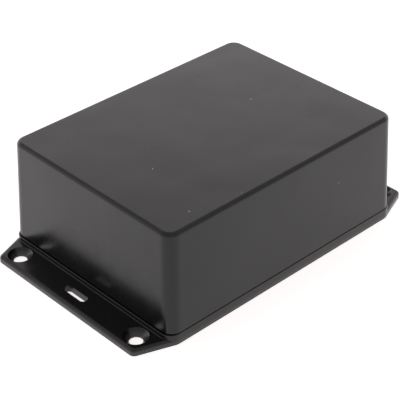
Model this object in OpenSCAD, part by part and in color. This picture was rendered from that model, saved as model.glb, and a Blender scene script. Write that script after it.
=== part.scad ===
// Plastic project box: a drafted, five-sided cover on a flanged base.
// Four countersunk screws come up through the base into brass bushings
// in the cover's corner posts, and the cover lifts off along +Z.
// Millimetres. The origin is the centre of the base's underside, and X
// runs from flange to flange.

/* [Cover] */
// Length of the cover at its rim, from flange to flange
cover_length = 110; // [100:1:160]
// Width of the cover at its rim
cover_width = 83; // [75:1:120]
// Height of the cover above the base
cover_height = 38.7; // [30:0.1:50]
// Thickness of the cover's side walls
wall = 2.4; // [2:0.1:3]
// Thickness of the cover's top
roof = 2.4; // [2:0.1:4]
// Draft of the cover's walls, in degrees
draft = 2; // [1:0.25:2.5]
// Radius of the upright outer corners
corner_r = 4.4; // [4:0.1:6]
// Radius of the upright inner corners, at the rim
inner_corner_r = 2.5; // [2.5:0.1:4]
// Radius of the rounded edge around the top
top_edge_r = 1.5; // [0.5:0.1:2]
// Height of the shadow groove between cover and base
groove_height = 0.4; // [0.2:0.05:0.6]
// Depth of the shadow groove
groove_depth = 0.8; // [0.3:0.1:1]

/* [Base] */
// Height of the base's raised part, which the cover stands on
base_height = 4.2; // [3.8:0.1:8]
// Radius of the raised part's rounded upper edge
base_edge_r = 0.3; // [0.2:0.1:0.6]
// Thickness of the base's floor
floor_thickness = 2.4; // [2:0.1:3]
// How far the raised part stands out past the cover at the flanges
end_ledge = 0.7; // [0.1:0.1:1]
// Thickness of the flanges
flange_thickness = 2.6; // [2:0.1:3]
// How far each flange reaches past the cover
flange_reach = 11.85; // [10:0.05:25]
// Width of the flange at its outer end
flange_tip_width = 71.8; // [60:0.1:74]
// How far inside the cover's end each slanted flange side starts
flange_setback = 3; // [1:0.1:10]
// Radius of the flange's outer corners
flange_corner_r = 2; // [1.5:0.1:4]
// Radius of the rounded edge along the top of the flanges
flange_edge_r = 1.3; // [0.3:0.1:1.4]
// Radius of the fillet between the flanges and the raised part
foot_r = 0.3; // [0.2:0.1:0.8]

/* [Mounting holes] */
// Distance of the holes and slots from the flange's end
mount_inset = 5.85; // [5:0.05:10]
// Distance of each hole from the corner of the flange, along the end
mount_side_inset = 4.9; // [4.5:0.05:15]
// Diameter of each mounting hole
mount_hole_d = 4.8; // [3:0.1:5.5]
// Diameter of the countersink at the top of each mounting hole
mount_sink_d = 8.9; // [7:0.1:9]
// Full angle of those countersinks, in degrees
mount_sink_angle = 90; // [82:1:100]
// Length of the slot between the holes, end to end
slot_length = 11; // [6:0.5:20]
// Width of that slot
slot_width = 3; // [2:0.1:4]

/* [Lap joint] */
// How far the lap ribs stand above the raised part
lap_height = 2; // [1:0.1:4]
// Thickness of the lap ribs
lap_thickness = 1.2; // [0.8:0.1:1.6]
// Gap between the lap ribs and the cover's walls
lap_gap = 0.2; // [0.15:0.05:0.5]

/* [Screws and bushings] */
// Diameter of the corner posts in the cover
post_d = 8.4; // [8:0.1:10]
// Distance of the post centres from the cover's outer faces at the rim
post_inset = 6.2; // [6:0.1:7]
// Diameter of the bushings
bushing_d = 5.6; // [5:0.1:6]
// Length of the bushings
bushing_length = 8; // [5:0.5:12]
// How far the bushings lie inside the ends of their posts
bushing_sink = 0.2; // [0.1:0.1:1]
// Radial gap between a bushing and its post
bushing_gap = 0.02; // [0.01:0.01:0.05]
// Outer diameter of the screws' thread
screw_d = 3.5; // [3:0.1:4]
// Length of the screws, over the head
screw_length = 12.7; // [9:0.1:16]
// Diameter of the screw heads
screw_head_d = 7; // [6:0.1:7.4]
// Full angle of the screw heads, in degrees
screw_head_angle = 82; // [80:1:90]
// How far the screw heads lie inside the underside of the base
screw_head_sink = 0.2; // [0.1:0.1:0.5]
// Gap between a screw's head and its countersink
screw_head_gap = 0.1; // [0.05:0.05:0.3]
// Radial gap between a screw and the hole in the base
screw_hole_gap = 0.3; // [0.2:0.05:0.5]
// Radial running gap between a screw's thread and its bushing
thread_gap = 0.05; // [0.02:0.01:0.1]

/* [Inside] */
// Width of the slots between the guide ribs, for a circuit board's edge
guide_slot = 2; // [1.8:0.1:3]
// Thickness of each guide rib
guide_rib = 1.4; // [1:0.1:2]
// How far the guide ribs stand out from the walls, at the top
guide_depth = 1.2; // [0.8:0.1:2]
// Pitch of the board slots along the long walls
long_pitch = 12; // [8:0.5:20]
// Pitch of the board slots along the short walls
short_pitch = 15; // [8:0.5:20]
// Diameter of the board standoffs under the cover's top
standoff_d = 6; // [5:0.1:8]
// Height of those standoffs
standoff_height = 5; // [3:0.5:8]
// Diameter of the screw hole in each standoff
standoff_hole_d = 2.2; // [1.6:0.1:3]
// Distance between the standoffs along the box
standoff_spacing_x = 76; // [50:1:80]
// Distance between the standoffs across the box
standoff_spacing_y = 48; // [30:1:52]

/* [Hidden] */
$fn = 64;
hull_facets = 32;  // facets of the round parts that a hull blends
edge_steps = 8;    // facets across a large rounded edge
small_steps = 3;   // facets across a small one
cut = 1;           // how far a cut runs past the face it opens

lean = tan(draft);
cover_top = base_height + cover_height;
roof_underside = cover_top - roof;

post_x = cover_length / 2 - post_inset;
post_y = cover_width / 2 - post_inset;
post_r = post_d / 2;
pad_margin = 0.6;  // how far a corner pad reaches past the post on it
lap_to_post = 0.8; // gap along the wall between a lap rib and a post

tray_inset = wall + lap_gap + lap_thickness;
tray_length = cover_length - 2 * tray_inset;
tray_width = cover_width - 2 * tray_inset;
tray_corner_r = 1.5;
lap_top = base_height + lap_height;
guide_to_lap = 0.5; // gap above a lap rib, where the guide ribs end

// Centres of the raised part's round corners
raised_x = cover_length / 2 + end_ledge - corner_r;
raised_y = cover_width / 2 - corner_r;

flange_end_x = cover_length / 2 + flange_reach;
flange_start_x = cover_length / 2 - flange_setback;
flange_angle = atan2(
    (cover_width - flange_tip_width) / 2, flange_end_x - flange_start_x
);
flange_tuck = 0.3; // of the plate's long sides inside the raised part's
foot_sweep = 25;   // degrees that the foot fillet goes on around a corner
foot_tuck = 0.2;   // of that fillet inside the pieces that it joins
mount_x = flange_end_x - mount_inset;
mount_y = flange_tip_width / 2 - mount_side_inset;

screw_r = screw_d / 2;
screw_head_r = screw_head_d / 2;
screw_head_land = 0.25; // straight edge around the head
screw_head_cone = (screw_head_r - screw_r) / tan(screw_head_angle / 2);
screw_chamfer = 0.5;    // at the screw's tip
recess_depth = 1.7;     // of the cross recess in the head
recess_wing = 0.9;      // width of its wings
recess_reach = 1.9;     // of the wings from the axis, at the top
recess_foot = 0.7;      // the same at the recess's bottom
screw_tip = screw_head_sink + screw_length;
tip_room = 2;           // depth of the blind hole past the screw's tip
bushing_band = 2;       // length of each gripping band
bushing_waist = 0.4;    // depth of the waist between the bands
bushing_chamfer = 0.3;

base_color = "#1b1b1d";
cover_color = "#1f1f21";
steel_color = "#b9bcc0";
brass_color = "#c9a24b";

// One child in each quarter, mirrored so that its +X +Y side faces out.
module in_quarters(x, y) {
    for (flip_x = [0, 1], flip_y = [0, 1])
        mirror([flip_x, 0, 0])
        mirror([0, flip_y, 0])
        translate([x, y, 0])
            children();
}

module rounded_rect(length, width, r) {
    square([length - 2 * r, width], center = true);
    square([length, width - 2 * r], center = true);
    in_quarters(length / 2 - r, width / 2 - r) circle(r);
}

// A circle with the quarter outside it filled out to the corner.
module corner_filled_circle(r, reach) {
    circle(r);
    square([reach, reach]);
}

// Outline of half a section with a rounded upper edge, from (r, straight) up
// to the axis. The arc starts where it is tangent to a side that leans in.
function rounded_edge(r, straight, edge_r, side_lean, steps) = concat(
    [for (step = [0 : steps])
        let (angle = side_lean + (90 - side_lean) * step / steps)
        [r + edge_r * cos(angle), straight + edge_r * sin(angle)]],
    [[0, straight + edge_r]]
);

// The cover's outer form: drafted sides, corners that lean in with them at
// one radius, and a rounded top edge.
module drafted_block(length, width, height) {
    straight = height - top_edge_r;
    rim_x = length / 2 - corner_r;
    rim_y = width / 2 - corner_r;
    top_inset = straight * lean;
    hull() {
        in_quarters(rim_x, rim_y)
            cylinder(h = top_edge_r, r1 = corner_r, r2 = 0, $fn = hull_facets);
        in_quarters(rim_x - top_inset, rim_y - top_inset)
            rotate_extrude($fn = hull_facets)
            polygon(concat(
                [[0, straight]],
                rounded_edge(
                    corner_r - top_edge_r / cos(draft),
                    straight,
                    top_edge_r,
                    draft,
                    edge_steps
                )
            ));
    }
}

// The space inside the cover, run on past the rim.
module cavity() {
    depth = roof_underside - base_height;
    translate([0, 0, base_height - cut])
        hull()
        in_quarters(
            cover_length / 2 - wall - inner_corner_r,
            cover_width / 2 - wall - inner_corner_r
        )
        cylinder(
            h = depth + cut,
            r1 = inner_corner_r + cut * lean,
            r2 = inner_corner_r - depth * lean,
            $fn = hull_facets
        );
}

module posts() {
    translate([0, 0, base_height])
        linear_extrude(cover_height)
        in_quarters(post_x, post_y)
        corner_filled_circle(post_r, post_inset);
}

// A row of board slots on the wall that faces +Y, half_width from the axis.
module guide_row(half_width, half_length, pitch) {
    bottom = lap_top + guide_to_lap;
    wall_at_top = half_width - wall - (roof_underside - base_height) * lean;
    pair_half = guide_slot / 2 + guide_rib;
    pairs_each_side = floor((half_length - post_inset - post_r - pair_half) / pitch);
    for (i = [-pairs_each_side : pairs_each_side], side = [-1, 1])
        translate([
            i * pitch + side * (guide_slot + guide_rib) / 2 - guide_rib / 2,
            wall_at_top - guide_depth,
            bottom
        ])
        cube([guide_rib, guide_depth + 2 * wall, cover_top - bottom]);
}

module guides() {
    for (turn = [0, 180]) rotate(turn)
        guide_row(cover_width / 2, cover_length / 2, long_pitch);
    for (turn = [90, 270]) rotate(turn)
        guide_row(cover_length / 2, cover_width / 2, short_pitch);
}

module standoffs(d, extra) {
    translate([0, 0, roof_underside - standoff_height - extra])
        in_quarters(standoff_spacing_x / 2, standoff_spacing_y / 2)
        cylinder(h = standoff_height + 2 * extra, d = d);
}

module standoff_holes() {
    translate([0, 0, roof_underside - standoff_height - cut])
        in_quarters(standoff_spacing_x / 2, standoff_spacing_y / 2)
        cylinder(h = standoff_height + cut, d = standoff_hole_d);
}

module bushing_holes() {
    in_quarters(post_x, post_y) {
        translate([0, 0, base_height - cut])
            cylinder(
                h = cut + bushing_sink + bushing_length,
                r = bushing_d / 2 + bushing_gap
            );
        translate([0, 0, base_height])
            cylinder(
                h = screw_tip + tip_room - base_height,
                r = screw_r + screw_hole_gap
            );
    }
}

module cover() {
    color(cover_color)
    difference() {
        union() {
            translate([0, 0, base_height + groove_height])
                drafted_block(
                    cover_length, cover_width, cover_height - groove_height
                );
            translate([0, 0, base_height])
                linear_extrude(groove_height + wall)
                rounded_rect(
                    cover_length - 2 * groove_depth,
                    cover_width - 2 * groove_depth,
                    corner_r - groove_depth
                );
        }
        difference() {
            cavity();
            posts();
            guides();
            standoffs(standoff_d, cut);
        }
        standoff_holes();
        bushing_holes();
    }
}

// The flanges and the plate between them, with a rounded upper edge. Its
// long sides are tucked just inside the raised part's.
module flange_plate() {
    side_lean = (1 - sin(flange_angle)) / cos(flange_angle);
    root_x = flange_start_x + flange_tuck / tan(flange_angle);
    hull() {
        in_quarters(
            flange_end_x - flange_corner_r,
            flange_tip_width / 2 - flange_corner_r * side_lean
        )
            plate_corner();
        in_quarters(
            root_x - flange_corner_r * tan(flange_angle / 2),
            cover_width / 2 - flange_tuck - flange_corner_r
        )
            plate_corner();
    }
}

// An upright round corner of the plate, with the rounded upper edge.
module plate_corner() {
    rounded_corner(flange_corner_r, flange_thickness, flange_edge_r, edge_steps);
}

// An upright round corner with a rounded upper edge.
module rounded_corner(r, height, edge_r, steps) {
    rotate_extrude($fn = hull_facets)
        polygon(concat(
            [[0, 0], [r, 0]],
            rounded_edge(r - edge_r, height - edge_r, edge_r, 0, steps)
        ));
}

// The part of the base that stands up under the cover and, at the flanges,
// a little past it.
module raised_part() {
    hull()
        in_quarters(raised_x, raised_y)
        rounded_corner(corner_r, base_height, base_edge_r, small_steps);
}

// Section of the fillet at the flanges' foot: its hollow face, and a corner
// sunk into the two pieces that it joins.
module foot_section() {
    polygon(concat(
        [for (step = [0 : small_steps])
            let (angle = 90 * step / small_steps)
            [foot_r * (1 - sin(angle)), foot_r * (1 - cos(angle))]],
        [[-foot_tuck, foot_r], [-foot_tuck, -foot_tuck], [foot_r, -foot_tuck]]
    ));
}

module foot_fillets() {
    translate([0, 0, flange_thickness]) {
        for (turn = [0, 180]) rotate(turn)
            translate([raised_x + corner_r, raised_y, 0])
            rotate([90, 0, 0])
            linear_extrude(2 * raised_y)
            foot_section();
        in_quarters(raised_x, raised_y)
            rotate_extrude(angle = foot_sweep)
            translate([corner_r, 0])
            foot_section();
    }
}

module lap_ribs() {
    half_length = post_x - post_r - lap_to_post;
    half_width = post_y - post_r - lap_to_post;
    for (turn = [0, 180]) rotate(turn) {
        translate([-half_length, tray_width / 2, floor_thickness])
            cube([2 * half_length, lap_thickness, lap_top - floor_thickness]);
        translate([tray_length / 2, -half_width, floor_thickness])
            cube([lap_thickness, 2 * half_width, lap_top - floor_thickness]);
    }
}

// The tray around which the raised part stands, less the four corner pads.
module tray() {
    translate([0, 0, floor_thickness])
        linear_extrude(base_height)
        difference() {
            rounded_rect(tray_length, tray_width, tray_corner_r);
            in_quarters(post_x, post_y)
                corner_filled_circle(post_r + pad_margin, post_inset);
        }
}

module mount_holes() {
    sink_depth = (mount_sink_d - mount_hole_d) / 2 / tan(mount_sink_angle / 2);
    in_quarters(mount_x, mount_y) {
        translate([0, 0, -cut])
            cylinder(h = flange_thickness + 2 * cut, d = mount_hole_d);
        translate([0, 0, flange_thickness - sink_depth])
            cylinder(h = sink_depth, d1 = mount_hole_d, d2 = mount_sink_d);
        translate([0, 0, flange_thickness])
            cylinder(h = cut, d = mount_sink_d);
    }
}

module slots() {
    end_y = (slot_length - slot_width) / 2;
    for (side = [-1, 1])
        translate([side * mount_x, 0, -cut])
        linear_extrude(flange_thickness + 2 * cut) {
            square([slot_width, 2 * end_y], center = true);
            for (end = [-1, 1])
                translate([0, end * end_y]) circle(d = slot_width);
        }
}

module screw_holes() {
    straight = screw_head_sink + screw_head_land;
    in_quarters(post_x, post_y) {
        translate([0, 0, -cut])
            cylinder(h = base_height + 2 * cut, r = screw_r + screw_hole_gap);
        translate([0, 0, -cut])
            cylinder(h = cut + straight, r = screw_head_r + screw_head_gap);
        translate([0, 0, straight])
            cylinder(
                h = screw_head_cone,
                r1 = screw_head_r + screw_head_gap,
                r2 = screw_r + screw_head_gap
            );
    }
}

module base() {
    color(base_color)
    difference() {
        union() {
            flange_plate();
            raised_part();
            foot_fillets();
            lap_ribs();
        }
        tray();
        mount_holes();
        slots();
        screw_holes();
    }
}

// The cross recess in a screw's head, narrowing towards its bottom.
module cross_recess() {
    narrowing = (recess_reach - recess_foot) / recess_depth;
    intersection() {
        translate([0, 0, -cut])
            cylinder(
                h = recess_depth + cut,
                r1 = recess_reach + narrowing * cut,
                r2 = recess_foot
            );
        for (turn = [0, 90]) rotate(turn)
            translate([-2 * recess_reach, -recess_wing / 2, -2 * cut])
            cube([4 * recess_reach, recess_wing, recess_depth + 3 * cut]);
    }
}

module cover_screw() {
    difference() {
        union() {
            cylinder(h = screw_head_land, r = screw_head_r);
            translate([0, 0, screw_head_land])
                cylinder(h = screw_head_cone, r1 = screw_head_r, r2 = screw_r);
            cylinder(h = screw_length - screw_chamfer, r = screw_r);
            translate([0, 0, screw_length - screw_chamfer])
                cylinder(
                    h = screw_chamfer, r1 = screw_r, r2 = screw_r - screw_chamfer
                );
        }
        cross_recess();
    }
}

module cover_screws() {
    color(steel_color)
    translate([0, 0, screw_head_sink])
        in_quarters(post_x, post_y)
        cover_screw();
}

// A bushing with two gripping bands around a narrower waist.
module threaded_bushing() {
    outer_r = bushing_d / 2;
    waist_r = outer_r - bushing_waist;
    bore_r = screw_r + thread_gap;
    rotate_extrude()
        polygon([
            [bore_r, 0],
            [outer_r - bushing_chamfer, 0],
            [outer_r, bushing_chamfer],
            [outer_r, bushing_band],
            [waist_r, bushing_band],
            [waist_r, bushing_length - bushing_band],
            [outer_r, bushing_length - bushing_band],
            [outer_r, bushing_length - bushing_chamfer],
            [outer_r - bushing_chamfer, bushing_length],
            [bore_r, bushing_length]
        ]);
}

module threaded_bushings() {
    color(brass_color)
    translate([0, 0, base_height + bushing_sink])
        in_quarters(post_x, post_y)
        threaded_bushing();
}

base();
cover();
cover_screws();
threaded_bushings();
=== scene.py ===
"""Looks of the plastic project box: satin black plastic, plated screws, brass bushings, soft light."""

import math

import bpy
from mathutils import Matrix, Vector


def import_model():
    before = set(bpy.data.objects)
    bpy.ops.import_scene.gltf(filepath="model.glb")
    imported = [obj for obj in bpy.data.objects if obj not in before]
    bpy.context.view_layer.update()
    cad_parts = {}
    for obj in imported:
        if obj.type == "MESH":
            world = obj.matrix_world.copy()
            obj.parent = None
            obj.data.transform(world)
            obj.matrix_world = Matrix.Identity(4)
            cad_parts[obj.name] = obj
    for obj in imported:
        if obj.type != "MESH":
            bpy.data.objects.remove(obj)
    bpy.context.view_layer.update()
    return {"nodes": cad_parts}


MM = 0.001

# Camera
CAMERA_TARGET = Vector((-9.25, -6.91, 19.95)) * MM
CAMERA_DISTANCE = 481.06 * MM
CAMERA_AZIMUTH = math.radians(-43.163)
CAMERA_ELEVATION = math.radians(34.138)
CAMERA_ROLL = math.radians(-0.47)
CAMERA_LENS = 123.45
CAMERA_SENSOR = 36.0

# Studio
FLOOR_HALF = 2.0
FLOOR_DROP = 0.02 * MM
FLOOR_COLOUR = (0.8, 0.8, 0.8, 1.0)
FLOOR_TINT = (1.02, 0.99, 0.975, 1.0)
ROOM_TINT = (1.03, 0.985, 1.0, 1.0)
# Light of the surroundings away from the backdrop
AMBIENT = 0.55
# The level direction from the camera's side to the backdrop
BACK = Vector((0.6, 0.8, 0.0))
# How far a level direction has to lean to BACK for no backdrop, and for all of it
BACKDROP_SIDES = (-0.3, 0.7)
# Light of the backdrop over the ambient light, by the sine of its elevation
BACKDROP = ((0.0, 0.92), (0.45, 0.89), (0.54, 0.6), (0.565, 0.35), (0.59, 0.08), (0.62, 0.0), (1.0, 0.0))
# Glow of the floor in the camera's own view
FLOOR_GLOW = 0.7
# Glow of the floor in reflections, along BACK: where it is near, between and far, and its level there
FLOOR_NEAR = -110 * MM
FLOOR_MIDDLE = -50 * MM
FLOOR_FAR = 20 * MM
FLOOR_LEVELS = (0.5, 0.62, 0.76)

# Plastic
PLASTIC_COLOUR = (0.0032, 0.0032, 0.0032)
PLASTIC_PALER = 1.25
PLASTIC_CLOUD = 18 * MM
PLASTIC_ROUGHNESS = 0.25
PLASTIC_IOR = 1.5
SHEEN_CHANGE = 0.03
SHEEN_SIZE = 6 * MM
WAVE_SIZE = 25 * MM
WAVE_DEPTH = 0.25 * MM
GRAIN_SIZE = 0.35 * MM
GRAIN_DEPTH = 0.008 * MM

# Painted light from the floor: a paler band along the foot of the base, whole up to one height, and gone
# by the next
RIM_FULL = 0.9 * MM
RIM_END = 2.0 * MM
RIM_FOOT = 0.1 * MM
PAINTED_FLOOR_LIGHT_COLOUR = (0.07, 0.069, 0.066)
# Size of the noise that breaks up the painted floor light, and the least share of that light that stays
FLOOR_LIGHT_NOISE_SIZE = 0.9 * MM
FLOOR_LIGHT_NOISE_LEAST = 0.5

# Dust on the cover, in millimetres: the place of each speck, and how far it reaches
DUST = (
    (Vector((25.3, 2.6, 42.9)), 0.18),
    (Vector((-31.0, -7.2, 42.9)), 0.18),
    (Vector((-39.3, -33.9, 42.9)), 0.2),
    (Vector((-19.9, -37.9, 42.9)), 0.1),
    (Vector((25.1, -40.7, 27.5)), 0.14),
)
DUST_COLOUR = (0.75, 0.73, 0.7)

# Edges of the base that the mould leaves slightly rounded
EDGE_ROUNDING = 0.15 * MM
EDGE_SEGMENTS = 3
EDGE_ANGLE = math.radians(35)
FLAT_ANGLE = math.radians(0.5)

# Fasteners
STEEL_COLOUR = (0.62, 0.63, 0.64)
STEEL_ROUGHNESS = 0.25
BRASS_COLOUR = (0.72, 0.55, 0.26)
BRASS_ROUGHNESS = 0.3
TARNISH = 0.82
TARNISH_SIZE = 1.5 * MM
POLISH_SMOOTHER = 0.06
POLISH_ROUGHER = 0.08
POLISH_SIZE = 0.6 * MM
THREAD_PITCH = 0.7 * MM
THREAD_DEPTH = 0.12 * MM

# The middle of a noise's values, which is stretched to the whole of a range
NOISE_LOW = 0.3
NOISE_HIGH = 0.7

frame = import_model()
nodes = frame["nodes"]


class Tree:
    """A node tree, with short calls for the nodes used here."""

    def __init__(self, owner):
        owner.use_nodes = True
        self.tree = owner.node_tree

    def node(self, kind, **settings):
        made = self.tree.nodes.new(kind)
        for key, value in settings.items():
            setattr(made, key, value)
        return made

    def link(self, source, target):
        self.tree.links.new(source, target)

    def value(self, source, socket):
        """Links an output, or writes a plain value, to a socket."""
        if isinstance(source, bpy.types.NodeSocket):
            self.link(source, socket)
        else:
            socket.default_value = source

    def math(self, operation, *sources):
        made = self.node("ShaderNodeMath", operation=operation)
        for source, socket in zip(sources, made.inputs):
            self.value(source, socket)
        return made.outputs[0]

    def vector(self, operation, *sources):
        """The one output of a vector operation that carries its result."""
        made = self.node("ShaderNodeVectorMath", operation=operation)
        for source, socket in zip(sources, made.inputs):
            self.value(source, socket)
        return next(output for output in made.outputs if output.enabled)

    def spread(self, value, low, high, from_low=NOISE_LOW, from_high=NOISE_HIGH):
        """A value stretched to run from low to high, and held there past the ends."""
        made = self.node("ShaderNodeMapRange")
        made.inputs["From Min"].default_value = from_low
        made.inputs["From Max"].default_value = from_high
        made.inputs["To Min"].default_value = low
        made.inputs["To Max"].default_value = high
        self.link(value, made.inputs["Value"])
        return made.outputs["Result"]


class Shader(Tree):
    """A material, with its noises, reliefs and masks."""

    def __init__(self, name):
        self.material = bpy.data.materials.new(name)
        super().__init__(self.material)
        self.surface = self.tree.nodes["Principled BSDF"]

    def set(self, **values):
        """Sets sockets of the surface, with _ in place of the spaces in their names."""
        for key, source in values.items():
            self.value(source, self.surface.inputs[key.replace("_", " ")])

    def place(self):
        """Where a point lies on the object, in metres."""
        return self.node("ShaderNodeTexCoord").outputs["Object"]

    def height(self):
        """How far a point lies above the underside, in metres."""
        parts = self.node("ShaderNodeSeparateXYZ")
        self.link(self.place(), parts.inputs[0])
        return parts.outputs["Z"]

    def noise(self, size, detail=2.0, roughness=0.5):
        """Noise whose lumps are about size metres across."""
        made = self.node("ShaderNodeTexNoise")
        made.inputs["Scale"].default_value = 1.0 / size
        made.inputs["Detail"].default_value = detail
        made.inputs["Roughness"].default_value = roughness
        self.link(self.place(), made.inputs["Vector"])
        return made.outputs["Fac"]

    def bump(self, height, depth, under=None):
        """Relief depth metres deep, laid over another bump."""
        made = self.node("ShaderNodeBump")
        made.inputs["Strength"].default_value = 1.0
        made.inputs["Distance"].default_value = depth
        self.link(height, made.inputs["Height"])
        if under:
            self.link(under, made.inputs["Normal"])
        return made.outputs["Normal"]

    def mix(self, factor, first, second):
        """The first colour where the factor is 0, and the second where it is 1."""
        made = self.node("ShaderNodeMix", data_type="RGBA")
        self.link(factor, made.inputs["Factor"])
        for socket, colour in ((made.inputs[6], first), (made.inputs[7], second)):
            if isinstance(colour, tuple):
                colour = (*colour, 1.0)
            self.value(colour, socket)
        return made.outputs[2]

    def specks(self, specks):
        """1 within any of the specks, each a place and a reach in mm, and 0 elsewhere."""
        place = self.place()
        total = 0.0
        for point, reach in specks:
            away = self.vector("DISTANCE", place, point * MM)
            near = self.math("LESS_THAN", away, reach * MM)
            total = self.math("MAXIMUM", total, near)
        return total

    def painted_floor_light(self):
        """Painted light from the floor: 1 on the low rim along the foot of the base, less where the
        noise is low, and 0 elsewhere.
        """
        low = self.spread(self.height(), 1.0, 0.0, RIM_FULL, RIM_END)
        standing = self.spread(self.height(), 0.0, 1.0, 0.0, RIM_FOOT)
        patchy = self.spread(self.noise(FLOOR_LIGHT_NOISE_SIZE, detail=3.0), FLOOR_LIGHT_NOISE_LEAST, 1.0)
        return self.math("MULTIPLY", self.math("MULTIPLY", low, standing), patchy)

    def rings(self, pitch):
        """Rounded rings around Z, one every pitch metres, as a fine thread shows."""
        return self.math("SINE", self.math("MULTIPLY", self.height(), 2 * math.pi / pitch))


def plastic():
    """Moulded black plastic with the fine grain of a spark-eroded mould."""
    shader = Shader("black_plastic")
    paler = tuple(PLASTIC_PALER * part for part in PLASTIC_COLOUR)
    colour = shader.mix(shader.noise(PLASTIC_CLOUD, detail=3.0), PLASTIC_COLOUR, paler)
    # Paler band along the foot of the base: painted light bounced from the floor, broken up by noise
    colour = shader.mix(shader.painted_floor_light(), colour, PAINTED_FLOOR_LIGHT_COLOUR)
    colour = shader.mix(shader.specks(DUST), colour, DUST_COLOUR)
    roughness = shader.spread(
        shader.noise(SHEEN_SIZE, detail=4.0, roughness=0.6),
        PLASTIC_ROUGHNESS - SHEEN_CHANGE,
        PLASTIC_ROUGHNESS + SHEEN_CHANGE,
    )
    waves = shader.bump(shader.noise(WAVE_SIZE, detail=1.0), WAVE_DEPTH)
    grain = shader.bump(shader.noise(GRAIN_SIZE), GRAIN_DEPTH, under=waves)
    shader.set(Base_Color=colour, Roughness=roughness, IOR=PLASTIC_IOR, Normal=grain)
    return shader.material


def metal(name, colour, roughness):
    """Turned metal with a fine thread and a soft variation of tone and sheen."""
    shader = Shader(name)
    darker = tuple(TARNISH * part for part in colour)
    tone = shader.mix(shader.noise(TARNISH_SIZE, detail=3.0), colour, darker)
    sheen = shader.spread(
        shader.noise(POLISH_SIZE), roughness - POLISH_SMOOTHER, roughness + POLISH_ROUGHER
    )
    thread = shader.bump(shader.rings(THREAD_PITCH), THREAD_DEPTH)
    shader.set(Base_Color=tone, Metallic=1.0, Roughness=sheen, Normal=thread)
    return shader.material


def dress(name, material):
    """Gives a CAD node its material."""
    mesh = nodes[name].data
    mesh.materials.clear()
    mesh.materials.append(material)


def round_edges(name):
    """Breaks the moulded edges of a CAD node."""
    modifiers = nodes[name].modifiers
    flat = modifiers.new("flats", "DECIMATE")
    flat.decimate_type = "DISSOLVE"
    flat.angle_limit = FLAT_ANGLE
    edges = modifiers.new("edges", "BEVEL")
    edges.width = EDGE_ROUNDING
    edges.segments = EDGE_SEGMENTS
    edges.limit_method = "ANGLE"
    edges.angle_limit = EDGE_ANGLE
    edges.harden_normals = True


def floor_material():
    """Matt white, with a glow that reflections and the camera see and the object's light doesn't."""
    shader = Shader("floor_white")
    near, middle, far = FLOOR_LEVELS
    depth = shader.vector("DOT_PRODUCT", shader.place(), BACK)
    close = shader.spread(depth, near, middle, FLOOR_NEAR, FLOOR_MIDDLE)
    distant = shader.spread(depth, 0.0, far - middle, FLOOR_MIDDLE, FLOOR_FAR)
    path = shader.node("ShaderNodeLightPath").outputs
    reflected = shader.math(
        "MULTIPLY", path["Is Glossy Ray"], shader.math("ADD", close, distant)
    )
    glow = shader.math("MULTIPLY_ADD", path["Is Camera Ray"], FLOOR_GLOW, reflected)
    shader.set(
        Base_Color=FLOOR_COLOUR,
        Roughness=1.0,
        Specular_IOR_Level=0.0,
        Emission_Color=FLOOR_TINT,
        Emission_Strength=glow,
    )
    return shader.material


def floor():
    """A plain white floor that keeps the object's contact shadow."""
    bpy.ops.mesh.primitive_plane_add(
        size=2 * FLOOR_HALF, location=(0, 0, -FLOOR_DROP)
    )
    plane = bpy.context.object
    plane.name = "floor"
    plane.data.materials.append(floor_material())


def world():
    """Dim light all around, and a bright backdrop behind the object."""
    made = bpy.data.worlds.new("studio")
    bpy.context.scene.world = made
    sky = Tree(made)
    direction = sky.node("ShaderNodeTexCoord").outputs["Generated"]
    parts = sky.node("ShaderNodeSeparateXYZ")
    sky.link(direction, parts.inputs[0])
    by_height = sky.node("ShaderNodeFloatCurve")
    points = by_height.mapping.curves[0].points
    while len(points) < len(BACKDROP):
        points.new(0.5, 0.5)
    for point, place in zip(points, BACKDROP):
        point.location = place
        point.handle_type = "VECTOR"
    by_height.mapping.update()
    sky.link(parts.outputs["Z"], by_height.inputs["Value"])
    level = sky.vector("MULTIPLY", direction, (1, 1, 0))
    facing = sky.vector("DOT_PRODUCT", sky.vector("NORMALIZE", level), BACK)
    by_side = sky.node("ShaderNodeMapRange", interpolation_type="SMOOTHSTEP")
    none, whole = BACKDROP_SIDES
    by_side.inputs["From Min"].default_value = none
    by_side.inputs["From Max"].default_value = whole
    sky.link(facing, by_side.inputs["Value"])
    light = sky.math(
        "MULTIPLY_ADD", by_height.outputs["Value"], by_side.outputs["Result"], AMBIENT
    )
    background = sky.tree.nodes["Background"]
    background.inputs["Color"].default_value = ROOM_TINT
    sky.link(light, background.inputs["Strength"])


def camera():
    """The camera of the main picture."""
    data = bpy.data.cameras.new("camera")
    data.lens = CAMERA_LENS
    data.sensor_width = CAMERA_SENSOR
    made = bpy.data.objects.new("camera", data)
    bpy.context.scene.collection.objects.link(made)
    back = Vector(
        (
            math.sin(CAMERA_AZIMUTH) * math.cos(CAMERA_ELEVATION),
            -math.cos(CAMERA_AZIMUTH) * math.cos(CAMERA_ELEVATION),
            math.sin(CAMERA_ELEVATION),
        )
    )
    turn = back.to_track_quat("Z", "Y").to_matrix().to_4x4()
    place = Matrix.Translation(CAMERA_TARGET + CAMERA_DISTANCE * back)
    made.matrix_world = place @ turn @ Matrix.Rotation(CAMERA_ROLL, 4, "Z")
    bpy.context.scene.camera = made


camera()
world()
floor()

black_plastic = plastic()
dress("base", black_plastic)
dress("cover", black_plastic)
dress("cover_screws", metal("plated_steel", STEEL_COLOUR, STEEL_ROUGHNESS))
dress("threaded_bushings", metal("brass", BRASS_COLOUR, BRASS_ROUGHNESS))
round_edges("base")

bpy.context.scene.view_settings.view_transform = "Standard"
